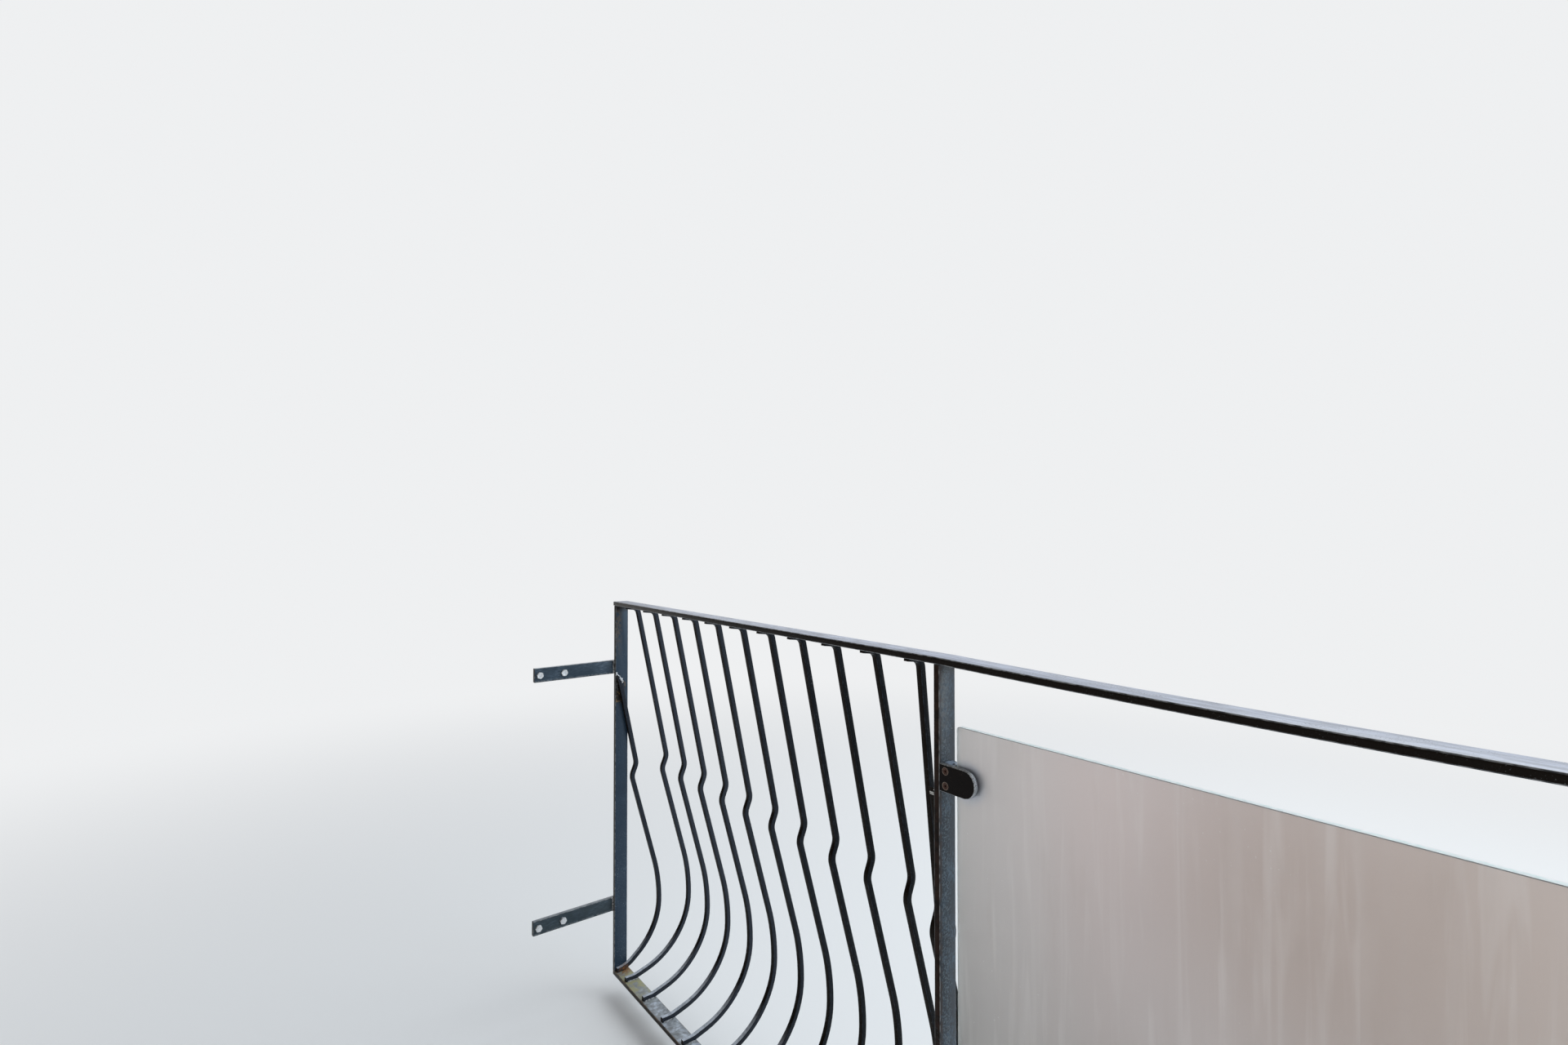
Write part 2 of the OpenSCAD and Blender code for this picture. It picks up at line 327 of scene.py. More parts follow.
world = bpy.data.worlds.new("surroundings")
world.use_nodes = True
bpy.context.scene.world = world
sky = Graph(world.node_tree)
background = world.node_tree.nodes["Background"]
ray_kinds = world.node_tree.nodes.new("ShaderNodeLightPath").outputs
camera_ray = Wire(sky, ray_kinds["Is Camera Ray"])
glossy_ray = Wire(sky, ray_kinds["Is Glossy Ray"])
seen = (camera_ray + glossy_ray + Wire(sky, ray_kinds["Is Transmission Ray"])).held()
towards = sky.node("ShaderNodeTexCoord", output="Generated")
to_room = sky.node("ShaderNodeSeparateXYZ", {}, {0: towards}, output="Y")
room_share = sky.step(to_room, -0.35, 0.45)
light_around = sky.mixed(room_share, SKY, ROOM)
backdrop_seen = sky.mixed(room_share * glossy_ray * (1 - camera_ray), PALE, ROOM)
sky.fill(background.inputs["Color"], sky.mixed(seen, light_around, backdrop_seen))
print("floor at z =", round(floor_z, 4))

# %% Lamps


def lamp(name, place, target, size, watts, colour):
    data = bpy.data.lights.new(name, "AREA")
    data.shape = "DISK"
    data.size = size
    data.energy = watts
    data.color = colour
    aim = (target - Vector(place)).to_track_quat("-Z", "Y").to_matrix().to_4x4()
    placed(name, data).matrix_world = Matrix.Translation(place) @ aim


lamp("sky_lamp", (-1.2, -3.2, 3.2), middle, size=3.5, watts=90, colour=(0.90, 0.96, 1.0))
lamp("street_lamp", (-4.6, -3.0, 0.9), middle, size=3.0, watts=45, colour=(0.62, 0.82, 1.0))
bpy.context.scene.view_settings.view_transform = "Standard"
print("lamps:", [lit.name for lit in bpy.data.lights])

# %% [markdown]
# ## Black paint that has been outside for years
#
# The steel has one coat of black satin paint, brushed on. Three things change it. A fine mottle of
# grain and pale specks covers it. Faces that look up get a pale bluish film: partly dust and dried
# rain, partly a painted sheen of the bright sky. Faces that look into the room get a brown tint,
# which is a painted reflection of the room. And single places have marks of their own: rust at a
# weld, lichen near the wall. `Paint` makes the first two, and `mark` lays one more colour on, and
# can roughen or raise it, so that each mark can stand beside the part that has it.

# %% Paint
SPECK = (0.40, 0.43, 0.45)
DULL = 0.06
ROOM_REFLECTION_BROWN = (0.011, 0.007, 0.004)


class Paint(Finish):
    def __init__(self, name, dark, light, up_dust_and_sheen, gloss, room_reflection=ROOM_REFLECTION_BROWN, brushed=(1.0, 1.0, 0.5)):
        super().__init__(name)
        cloud = self.patchy(22.0, 0.36, 0.70, 5.0)
        grain = self.patchy(420.0, 0.36, 0.68, 5.0, at=self.stretched(*brushed))
        self.colour = self.mixed(grain * (0.15 + 0.85 * cloud), dark, light)
        self.rough = gloss + 0.10 * grain
        self.relief = self.noise(420.0, 2.0) + 0.4 * grain
        # Faces towards the room: a brown tint, painted reflection of the room.
        self.mark(self.facing(0, 1, 0, 0.55, 0.95) * 0.9, room_reflection)
        # Faces that look up: a pale film, partly dust and partly a painted sheen of the sky.
        uneven = 0.70 + 0.30 * self.patchy(45.0, 0.35, 0.65, 4.0, at=self.stretched(0.5, 1.0, 1.0))
        self.mark(self.facing(0, 0, 1, 0.45, 0.95) * uneven, up_dust_and_sheen, 0.08)
        specks = self.patchy(560.0, 0.64, 0.74, 2.0) * self.patchy(26.0, 0.40, 0.62)
        self.mark(specks * 0.30, SPECK)

    def mark(self, mask, colour, rougher=0.0, relief=0.0):
        self.lay(mask, colour)
        if rougher:
            self.rough = self.rough + mask * rougher
        if relief:
            self.relief = self.relief + mask * relief

    def done(self, level):
        self.set(Base_Color=self.colour, Roughness=self.rough.held(), IOR=1.5)
        self.set(Specular_IOR_Level=level, Normal=self.bump(self.relief, 0.22 * MM, 0.35))
        return self.material


# %% [markdown]
# Each kind of part gets its own tones. The posts are slate blue and coarsely mottled, the bars
# nearly black, the brackets brushed along and pale at the lower rim. Every paint is made twice: the
# faces towards the room never get washed by rain, and the dull grease on them mirrors far less. The
# marks are placed with `spot`: brown worn tops of the posts, painted shade on the post behind the
# end bar, lichen on the bottom rail near the wall, and rust where the end bar's tail is welded on.

# %% Post paint
BROWN = (0.16, 0.115, 0.075)
DEEP_BROWN = (0.012, 0.008, 0.005)
OCHRE = (0.30, 0.19, 0.08)
GREY_WORN = (0.15, 0.145, 0.135)
POST_MARGIN = 5


def at_post(p, post):
    return p.within("X", -(post[1] + POST_MARGIN) * MM, -(post[0] - POST_MARGIN) * MM)


def post_paint(name, level):
    p = Paint(name, (0.004, 0.010, 0.018), (0.050, 0.090, 0.130), (0.05, 0.06, 0.07), 0.32)
    at_wall = 1 - p.beyond(0.04, 0.05)
    p.mark(at_wall * 0.6, (0.028, 0.062, 0.108))
    p.mark(at_wall * p.facing(0, 1, 0, 0.6, 0.95) * 0.8, (0.080, 0.072, 0.058), 0.1)
    low_specks = p.patchy(420.0, 0.60, 0.66, 2.0) * p.patchy(30.0, 0.35, 0.60)
    p.mark((1 - p.above(0.25, 0.60)) * low_specks * 0.5, (0.30, 0.38, 0.44))
    for post in POSTS:
        is_middle = post is MIDDLE_POST
        high_up = at_post(p, post) * p.above(0.90, 1.05)
        worn_width = (30 if is_middle else 26) * MM
        inner_part = 1 - p.step(p.axis("Y") * -1.0, -room_y + 8 * MM, -room_y + worn_width)
        worn = p.patchy(150.0, 0.32, 0.62, 5.0) * (1 - p.facing(0, 1, 0, 0.5, 0.8))
        p.mark(high_up * inner_part * worn * 0.75, GREY_WORN if is_middle else BROWN, 0.15, 0.4)
        # A dark brown band right under the top rail on each post: painted shade.
        p.mark(at_post(p, post) * p.above(1.070, 1.086) * 0.9, DEEP_BROWN)
    at_middle = at_post(p, MIDDLE_POST)
    out = (p.axis("Y") * -1.0 + room_y) / MM
    inner_strip = p.step(out, 2.0, 6.0) * (1 - p.step(out, 16.0, 34.0))
    freckles = p.patchy(330.0, 0.50, 0.60, 4.0) * inner_strip
    p.mark(at_middle * freckles * 0.45, (0.14, 0.185, 0.21), 0.1, 0.5)
    brown_edge = (1 - p.step(out, 3.0, 9.0)) * p.patchy(70.0, 0.30, 0.60, 4.0)
    p.mark(at_middle * brown_edge * 0.8, (0.045, 0.026, 0.020), 0.1)
    # Where the end bar meets the wall post: painted shade on the post's wide face, mottled, with
    # ochre rust spots.
    shade_behind_end_bar = p.near(spot(WALL_POST[1], 5, 850), 34 * MM, 14 * MM)
    shade_behind_end_bar = shade_behind_end_bar + p.near(spot(WALL_POST[1], 10, 818), 24 * MM, 8 * MM)
    behind = shade_behind_end_bar.held() * p.facing(-1, 0, 0, 0.6, 0.9)
    p.mark(behind * p.patchy(90.0, 0.20, 0.42), DEEP_BROWN, 0.2)
    p.mark(behind * p.patchy(150.0, 0.56, 0.64), OCHRE, 0.2, 0.5)
    return p.done(level)


def bracket_paint(name, level):
    p = Paint(name, (0.020, 0.042, 0.066), (0.110, 0.165, 0.225), (0.60, 0.64, 0.68), 0.34,
              brushed=(1.0, 0.15, 1.0))
    p.mark((1 - p.above(0.4, 0.6)) * 0.6, (0.030, 0.044, 0.046))
    for height in BRACKET_HEIGHTS:
        under = sill_z + (height - BRACKET_HALF) * MM
        lower_rim = p.within("Z", under - 1 * MM, under + 5 * MM, 2 * MM)
        p.mark(lower_rim * p.patchy(160.0, 0.35, 0.62, 4.0) * 0.7, (0.22, 0.24, 0.25), 0.1)
    return p.done(level)


def both_sides(paint, level=0.4):
    name = paint.__name__
    return paint(name, level), paint(name + "_room_side", DULL)


posts_black = both_sides(post_paint)
brackets_black = both_sides(bracket_paint)

# %% Rail and bar paint
LICHEN = (0.42, 0.40, 0.22)
RUST = (0.27, 0.12, 0.05)
PALE_DUST_AND_SHEEN = (0.60, 0.66, 0.74)
FIRST_BAR, BAR_PITCH = 89.5, 112.0
BAND_Z = sill_z + 877 * MM


def top_rail_paint(name, level):
    p = Paint(name, (0.010, 0.012, 0.016), (0.028, 0.032, 0.038), (0.43, 0.47, 0.58), 0.20)
    on_top = p.facing(0, 0, 1, 0.7, 0.95)
    streaks = p.patchy(1.0, 0.42, 0.66, 4.0, at=p.stretched(14.0, 150.0, 150.0))
    p.mark(on_top * streaks * 0.5, (0.11, 0.12, 0.155), 0.10)
    near_wall = 1 - p.beyond(0.10, 0.42)
    p.mark(near_wall * p.facing(0, 1, 0, 0.6, 0.95) * 0.85, (0.085, 0.080, 0.072), 0.15)
    # Near the wall the top face is greyer and rougher: a painted reflection of the shaded wall in
    # place of the sky.
    p.mark(near_wall * on_top * 0.7, (0.38, 0.38, 0.40), 0.35)
    return p.done(level)


def bottom_rail_paint(name, level):
    p = Paint(name, (0.010, 0.012, 0.016), (0.030, 0.034, 0.040), PALE_DUST_AND_SHEEN, 0.30,
              room_reflection=(0.026, 0.016, 0.009))
    on_top = p.facing(0, 0, 1, 0.7, 0.95)
    smears = p.patchy(1.0, 0.40, 0.70, 5.0, at=p.stretched(60.0, 30.0, 30.0))
    p.mark(on_top * smears * 0.6, (0.29, 0.32, 0.34), 0.1)
    from_bar = (p.axis("X") * -1000.0 - FIRST_BAR).maths("PINGPONG", BAR_PITCH / 2)
    bar_bay = 1 - p.beyond(1.24, 1.26)
    smudge = (1 - p.step(from_bar, 5.0, 26.0)) * bar_bay * p.patchy(75.0, 0.30, 0.62, 5.0)
    p.mark(on_top * smudge * 0.65, (0.12, 0.12, 0.11), 0.1)
    wall_side = 1 - p.beyond(0.12, 0.24)
    p.mark(on_top * wall_side * 0.8, (0.27, 0.28, 0.26), 0.1)
    p.mark(on_top * wall_side * p.patchy(60.0, 0.36, 0.54, 5.0) * 0.85, LICHEN, 0.3, 0.6)
    rusty = p.near(spot(WALL_POST[1] + 6, 26, 0), 40 * MM, 8 * MM) * p.patchy(90.0, 0.36, 0.52, 5.0)
    p.mark(on_top * rusty * 0.9, RUST, 0.3, 0.6)
    return p.done(level)


def bar_paint(name, level):
    p = Paint(name, (0.002, 0.003, 0.004), (0.008, 0.010, 0.013), (0.12, 0.125, 0.14), 0.26)
    # On the farther bars the sides towards the street are painted lighter blue-grey: a painted
    # sky-lit side.
    far = 1 - p.beyond(0.25, 1.05)
    p.mark(far * p.facing(-1, 0, 0, 0.5, 0.9) * 0.75, (0.046, 0.053, 0.068))
    # Upward faces of the tails near the bottom rail: a painted highlight of the sky, in patches.
    foot_highlight = (1 - p.above(0.020, 0.110)) * p.facing(0, 0.3, 0.95, 0.70, 0.98)
    p.mark(foot_highlight * (0.55 + 0.45 * p.patchy(110.0, 0.30, 0.62, 5.0)), (0.56, 0.60, 0.66), 0.1)
    rusty = p.near(spot(WALL_POST[1] + 6, 24, 2), 26 * MM, 6 * MM)
    p.mark(rusty * p.patchy(110.0, 0.40, 0.55, 5.0) * 0.85, RUST, 0.3, 0.6)
    end_bar_side = p.within("X", -(MIDDLE_POST[0] - 2) * MM, -(MIDDLE_POST[0] - 14) * MM, 0.5 * MM)
    band = p.within("Z", BAND_Z - 2.5 * MM, BAND_Z + 2.5 * MM, 0.5 * MM)
    dark_line = p.within("Z", BAND_Z - 0.5 * MM, BAND_Z + 0.5 * MM, 0.3 * MM)
    p.mark(end_bar_side * band * (1 - dark_line * 0.7), (0.72, 0.72, 0.70), 0.2)
    return p.done(level)


top_rail_black = both_sides(top_rail_paint, 0.5)
bottom_rail_black = both_sides(bottom_rail_paint)
bars_black = both_sides(bar_paint, DULL)
print("paints:", [m.name for m in bpy.data.materials])

# %% [markdown]
# Edges wear first. On the rounded edges of the flats the paint is thin and grey steel shows in
# patches, and their paleness is also a painted highlight of the sky on the round. On the bars the
# edges are a little paler and bluer than the sides: a painted highlight. Weld metal and its spatter
# took the paint badly: they are pale grey, and rough.

# %% Worn edges and weld metal


def worn_edge(name, dark, pale, low, high, level=0.5):
    f = Finish(name)
    bare = f.patchy(85.0, low, high, 5.0)
    f.set(Base_Color=f.mixed(bare, dark, pale), Roughness=(0.30 + 0.15 * bare).held(), IOR=1.5)
    f.set(Specular_IOR_Level=level, Normal=f.bump(f.noise(600.0, 2.0), 0.10 * MM, 0.4))
    return f.material


def weld_metal(name, tone, pale, share):
    f = Finish(name)
    crust = f.patchy(240.0, share, share + 0.2, 4.0)
    f.set(Base_Color=f.mixed(crust, tone, pale), Roughness=(0.42 + 0.25 * crust).held(), IOR=1.5)
    f.set(Normal=f.bump(f.noise(520.0) + 0.6 * crust, 0.3 * MM, 0.6))
    return f.material


# Pale edges of the flats and bars: bare steel, and a painted highlight of the sky.
flat_edge = worn_edge("flat_edge", (0.045, 0.050, 0.058), (0.26, 0.27, 0.28), 0.38, 0.64)
sill_edge = worn_edge("sill_edge", (0.030, 0.022, 0.016), (0.20, 0.125, 0.07), 0.40, 0.60)
bar_edge = worn_edge("bar_edge", (0.010, 0.012, 0.016), (0.045, 0.054, 0.072), 0.42, 0.72, 0.12)
weld_black = weld_metal("weld_black", (0.014, 0.015, 0.018), (0.10, 0.105, 0.11), 0.48)
weld_grey = weld_metal("weld_grey", (0.11, 0.115, 0.12), (0.48, 0.49, 0.50), 0.38)
spatter_white = weld_metal("spatter_white", (0.42, 0.44, 0.46), (0.78, 0.80, 0.82), 0.34)

# %% [markdown]
# ## Zinc, clamp enamel, rubber and glass
#
# The bolts are zinc plated, with pale, uneven heads. The clamps have a gloss black enamel that is
# worn to bare metal round the side; their tops carry dust and a painted bluish sheen of the sky.
# The glass is ten millimetres thick and etched, so it lets light through but no picture, and rain
# has left faint upright streaks. Round each clamp a soft blue-grey shade is painted into it, where
# the rear half of the clamp would show through. The glass's ground edge scatters more light than
# its faces and looks nearly white.

# %% Metal and rubber


def zinc_plate():
    f = Finish("zinc_plate")
    bloom = f.patchy(180.0, 0.35, 0.70, 4.0)
    f.set(Base_Color=f.mixed(bloom, (0.72, 0.735, 0.745), (0.89, 0.895, 0.90)), Metallic=0.55)
    f.set(Roughness=(0.34 + 0.2 * bloom).held(), Normal=f.bump(f.noise(900.0, 2.0), 0.08 * MM, 0.5))
    return f.material


def clamp_enamel():
    f = Finish("clamp_enamel")
    f.colour = f.mixed(f.noise(60.0), (0.004, 0.0025, 0.002), (0.008, 0.005, 0.004))
    # Up-facing enamel: dust, with a painted bluish sheen of the sky.
    dust_and_sky_sheen = f.facing(0, 0, 1, 0.7, 0.95) * f.patchy(120.0, 0.30, 0.60)
    f.lay(dust_and_sky_sheen, (0.22, 0.27, 0.34))
    scuffs = f.patchy(420.0, 0.66, 0.72, 2.0) * f.patchy(60.0, 0.45, 0.6)
    f.lay(scuffs * 0.6, (0.12, 0.075, 0.045))
    f.set(Base_Color=f.colour, Roughness=(0.16 + 0.12 * f.patchy(40.0, 0.4, 0.7)).held())
    f.set(Specular_IOR_Level=0.08, Normal=f.bump(f.noise(700.0, 2.0), 0.05 * MM, 0.3))
    return f.material


def worn_rim():
    f = Finish("worn_rim")
    bare = f.patchy(760.0, 0.38, 0.55)
    bare = bare * (1 - 0.85 * f.facing(0, 0, 1, 0.80, 0.98))
    f.set(Base_Color=f.mixed(bare, (0.06, 0.062, 0.066), (0.66, 0.70, 0.73)), Metallic=bare * 0.6)
    f.set(Roughness=(0.34 + 0.15 * bare).held())
    f.set(Normal=f.bump(f.noise(1200.0, 2.0), 0.15 * MM, 0.6))
    return f.material


def dull_finish(name, dark, pale, scale, roughness, grain, sharp=None):
    f = Finish(name)
    share = f.patchy(scale, *sharp) if sharp else f.noise(scale)
    f.set(Base_Color=f.mixed(share, dark, pale))
    f.set(Roughness=(roughness + 0.2 * f.noise(grain)).held())
    return f.material


RUSTED = (0.35, 0.6)
zinc = zinc_plate()
enamel = clamp_enamel()
rim = worn_rim()
screw_brown = dull_finish("rusty_screw", (0.030, 0.012, 0.007), (0.10, 0.038, 0.020),
                          500.0, 0.55, 400.0, RUSTED)
ring_tan = dull_finish("tan_ring", (0.16, 0.10, 0.075), (0.46, 0.37, 0.30),
                       600.0, 0.40, 400.0, RUSTED)
rubber = dull_finish("rubber_pad", (0.008, 0.008, 0.009), (0.02, 0.02, 0.022), 300.0, 0.6, 200.0)

# %% Glass
CLAMPS = ["middle_upper", "middle_lower", "glass_end_upper", "glass_end_lower"]


def nose_centre(clamp):
    low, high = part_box(clamp + "_clamp_cover")
    half = (high.z - low.z) / 2
    x = low.x + half if clamp.startswith("middle") else high.x - half
    return Vector((x, low.y, low.z + half)), half


def etched_glass():
    f = Finish("etched_glass")
    wavy = f.noise(1.0, at=f.stretched(52.0, 52.0, 3.2), distortion=0.9)
    streak = f.step(wavy, 0.48, 0.72)
    fine = f.noise(1.0, at=f.stretched(150.0, 150.0, 3.5))
    wide = f.patchy(1.0, 0.30, 0.70, 2.0, at=f.stretched(1.6, 1.6, 1.3))
    f.colour = f.mixed(wide, (0.66, 0.575, 0.550), (0.78, 0.695, 0.670))
    cool_side = 1 - f.beyond(1.36, 1.58)
    f.lay(cool_side * 0.75, (0.745, 0.72, 0.705))
    yellow_side = f.beyond(1.60, 2.10)
    f.lay(yellow_side * 0.45, (0.70, 0.60, 0.51))
    low_down = 1 - f.above(0.35, 0.98)
    f.lay(low_down * 0.70, (0.50, 0.48, 0.455))
    stain = f.near(spot(1810, 10, 880), 0.26, 0.02)
    f.lay(stain * 0.45, (0.52, 0.42, 0.36))
    f.lay(streak * 0.38 * (0.4 + 0.6 * fine), (0.92, 0.88, 0.85))
    dull = f.patchy(1.0, 0.55, 0.75, 4.0, at=f.stretched(30.0, 30.0, 5.0))
    f.lay(dull * 0.20, (0.50, 0.42, 0.37))
    drops = f.patchy(260.0, 0.79, 0.82, 0.0) * f.patchy(8.0, 0.45, 0.6)
    f.lay(drops * 0.5, (0.95, 0.95, 0.93))
    for clamp in CLAMPS:
        centre, half = nose_centre(clamp)
        # Painted shade round each clamp's nose, for the rear half of the clamp behind the glass.
        shade = f.near(centre, half + 20 * MM, half - 6 * MM)
        f.lay(shade * 0.5, (0.36, 0.48, 0.64))
    f.set(Base_Color=f.colour, Roughness=(0.62 - 0.10 * streak).held(), IOR=1.5)
    f.set(Transmission_Weight=0.8)
    return f.material


def ground_edge():
    f = Finish("ground_edge")
    f.set(Base_Color=f.mixed(f.patchy(140.0, 0.35, 0.65), (0.74, 0.90, 0.89), (0.90, 0.96, 0.96)))
    f.set(Roughness=(0.28 + 0.1 * f.noise(200.0)).held(), IOR=1.5, Transmission_Weight=0.25)
    return f.material


glass = etched_glass()
edge = ground_edge()
# The room-side arris is painted darker: a painted reflection of the room.
arris = dull_finish("dark_arris", (0.34, 0.34, 0.37), (0.58, 0.58, 0.61), 90.0, 0.3, 200.0)
print("finishes:", len(bpy.data.materials))

# %% [markdown]
# ## Rolled flats
#
# Rails, posts and brackets are cut from hot-rolled flat bar. Its long edges are never sharp: the
# rolls leave a radius of a millimetre or two, and that thin round catches the light. Each flat is
# a copy of its solid from the frame, merged, with those edges rounded in the mesh. The narrow faces
# of the round get the edge finish of wear and painted highlight, the ones towards the room the dull
# one. A copy still carries the solid's stored normals, which would shade the new faces wrongly, so
# they are dropped.

# %% Rolled copies
SHARP = math.radians(35)
TOUCHING = 1e-6


def finished(name, mesh, finishes, slot, *nodes):
    made = placed(name, mesh)
    for finish in finishes:
        if finish.name not in [m.name for m in mesh.materials if m]:
            mesh.materials.append(finish)
    mesh.shade_smooth()
    mesh.set_sharp_from_angle(angle=SHARP)
    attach(made, BODY)
    if nodes:
        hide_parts(*nodes)
    return made


def merged_copy(node):
    bm = bmesh.new()
    bm.from_mesh(frame["nodes"][node].data)
    bmesh.ops.remove_doubles(bm, verts=bm.verts, dist=TOUCHING)
    bmesh.ops.dissolve_limit(bm, angle_limit=math.radians(0.5), verts=bm.verts, edges=bm.edges)
    return bm


def to_mesh(bm, name):
    mesh = bpy.data.meshes.new(name)
    bm.to_mesh(mesh)
    bm.free()
    if "custom_normal" in mesh.attributes:
        mesh.attributes.remove(mesh.attributes["custom_normal"])
    return mesh


def sort_faces(bm, rounded, to_room):
    bm.normal_update()
    for face in bm.faces:
        face.material_index = 1 if rounded(face.normal) else 2 if to_room(face.normal) else 0


def round_edges(bm, edges, radius, segments):
    bmesh.ops.bevel(bm, geom=edges, offset=radius * MM, segments=segments, profile=0.5,
                    affect="EDGES", clamp_overlap=True)


def on_outline(bm, edge):
    lows = [min(v.co[k] for v in bm.verts) for k in range(3)]
    highs = [max(v.co[k] for v in bm.verts) for k in range(3)]

    def flush(k, v):
        return min(abs(v.co[k] - lows[k]), abs(v.co[k] - highs[k])) < TOUCHING

    sides = [k for k in range(3) if all(flush(k, v) for v in edge.verts)]
    return len(sides) >= 2 and edge.calc_face_angle(0.0) > SHARP


# %% [markdown]
# People have leaned on the top rail over the glass, and it hangs a few millimetres low there. Its
# copy is cut into short lengths, and each cut goes down by what a parabola between the posts says.

# %% Flats
SAG = 6.5
SAG_CUTS = 24
RAIL_ROUND, FLAT_ROUND = 1.6, 1.2


def everything(bm):
    return list(bm.verts) + list(bm.edges) + list(bm.faces)


def sagged(bm):
    start, end = sum(MIDDLE_POST) / 2, sum(FAR_POST) / 2
    for k in range(SAG_CUTS + 1):
        across = spot(start + (end - start) * k / SAG_CUTS, 0, 0)
        bmesh.ops.bisect_plane(bm, geom=everything(bm), plane_co=across, plane_no=(1, 0, 0))
    for v in bm.verts:
        share = (-v.co.x / MM - start) / (end - start)
        v.co.z -= 4 * SAG * MM * max(0.0, share * (1 - share))


def rolled_flat(node, radius, paint, worn):
    bm = merged_copy(node)
    round_edges(bm, [e for e in bm.edges if on_outline(bm, e)], radius, 3)
    sort_faces(bm, lambda n: max(abs(n.x), abs(n.y), abs(n.z)) < 0.98, lambda n: n.y > 0.9)
    if node == "top_rail":
        sagged(bm)
    name = node + "_rolled"
    return finished(name, to_mesh(bm, name), [paint[0], worn, paint[1]], "steel", node)


flats = [rolled_flat("top_rail", RAIL_ROUND, top_rail_black, flat_edge),
         rolled_flat("bottom_rail", RAIL_ROUND, bottom_rail_black, sill_edge)]
for node in ("bar_end_post", "middle_post", "glass_end_post"):
    flats.append(rolled_flat(node, FLAT_ROUND, posts_black, flat_edge))
for end in ("bar_end", "glass_end"):
    for level in ("upper", "lower"):
        node = end + "_" + level + "_bracket"
        flats.append(rolled_flat(node, FLAT_ROUND, brackets_black, flat_edge))
print("flats:", len(flats), "faces in one rail:", len(flats[0].data.polygons))

# %% [markdown]
# ## Bent bars
#
# A bar is one length of square bar bent cold round formers, so its centre line is straights joined
# by arcs. A shape tree says just that: a line through the corners, a fillet with each corner's own
# radius, and a square section with slightly round edges run along it. One tree bends all thirteen.
# `ShapeGraph` holds the three nodes that more than one tree needs.

# %% Shape trees


class ShapeGraph(Graph):
    def random(self, low, high, seed):
        return self.node("FunctionNodeRandomValue", {"data_type": "FLOAT"}, {
            "Min_001": low, "Max_001": high, "Seed": seed}, output=1)

    def swept(self, curve, section, **more):
        return self.node("GeometryNodeCurveToMesh", {}, {
            "Curve": curve, "Profile Curve": section, "Fill Caps": True, **more})

    def instances(self, points, form, **more):
        return self.node("GeometryNodeInstanceOnPoints", {}, {
            "Points": points, "Instance": form, **more})


def shape_tree(name, wanted):
    tree = bpy.data.node_groups.new(name, "GeometryNodeTree")
    tree.interface.new_socket("Geometry", in_out="INPUT", socket_type="NodeSocketGeometry")
    for label, kind in {**wanted, "Finish": "Material"}.items():
        tree.interface.new_socket(label, in_out="INPUT", socket_type="NodeSocket" + kind)
    tree.interface.new_socket("Geometry", in_out="OUTPUT", socket_type="NodeSocketGeometry")
    graph = ShapeGraph(tree)
    entry = tree.nodes.new("NodeGroupInput")
    return graph, {s.name: Wire(graph, s) for s in entry.outputs if s.name}


def close_tree(graph, given, shape):
    real = graph.node("GeometryNodeRealizeInstances", {}, {"Geometry": shape})
    coated = graph.node("GeometryNodeSetMaterial", {}, {
        "Geometry": real, "Material": given["Finish"]})
    graph.fill(graph.tree.nodes.new("NodeGroupOutput").inputs["Geometry"], coated)
    return graph.tree


def mesh_from(tree, values, points, edges=(), bends=()):
    source = bpy.data.meshes.new("source")
    source.from_pydata([tuple(p) for p in points], edges, [])
    if bends:
        source.attributes.new("bend", "FLOAT", "POINT").data.foreach_set("value", bends)
    holder = placed("source", source)
    modifier = holder.modifiers.new("shape", "NODES")
    modifier.node_group = tree
    for item in tree.interface.items_tree:
        if item.in_out == "INPUT" and item.name in values:
            modifier[item.identifier] = values[item.name]
    ready = holder.evaluated_get(bpy.context.evaluated_depsgraph_get())
    mesh = bpy.data.meshes.new_from_object(ready)
    holder.modifiers.remove(modifier)
    bpy.data.objects.remove(holder)
    return mesh


# %% The bending tree
def bending_tree():
    g, given = shape_tree("bent_bar", {"Side": "Float", "Edge Radius": "Float", "Steps": "Int"})
    line = g.node("GeometryNodeMeshToCurve", {}, {"Mesh": given["Geometry"]})
    radius = g.node("GeometryNodeInputNamedAttribute", {"data_type": "FLOAT"}, {"Name": "bend"})
    bent = g.node("GeometryNodeFilletCurve", {"mode": "POLY"}, {
        "Curve": line, "Count": given["Steps"], "Radius": radius, "Limit Radius": True})
    square = g.node("GeometryNodeCurvePrimitiveQuadrilateral", {}, {
        "Width": given["Side"], "Height": given["Side"]})
    section = g.node("GeometryNodeFilletCurve", {"mode": "POLY"}, {
        "Curve": square, "Count": 3, "Radius": given["Edge Radius"]})
    return close_tree(g, given, g.swept(bent, section))


bar_tree = bending_tree()

# %% [markdown]
# The corners are those of the solids: how far out, how high, and the radius to the middle of the
# bar. All bars share the kink and the belly, moved inwards and down on some. A whole bar runs into
# the top rail and is ground flush under it. An end bar is cut off at 45 degrees against its post.

# %% Bar corners
BAR = 12.0
END_OUT = 5.0
LEG_OUT, LEG_BEND = 39.4, 20
LEG_TIP, LEG_ROOT = 5.0, 9.5
KINK = ((137, 636, 35), (122, 600, 35), (215, 268, 480))
BELLY_OUT, BELLY_BEND = 215, 190
CUT_BELLY_H = 91
WHOLE_TAIL = [(35, BAR / 2, 80), (END_OUT, BAR / 2, 0)]
CUT_TAIL = [(45, 14, 80), (17, BAR / 2, 80), (END_OUT, BAR / 2, 0)]
CUT_OUT, CUT_H = 8.0, 880.0


def kink(inwards, drop):
    return [(out - inwards, height - drop, bend) for out, height, bend in KINK]


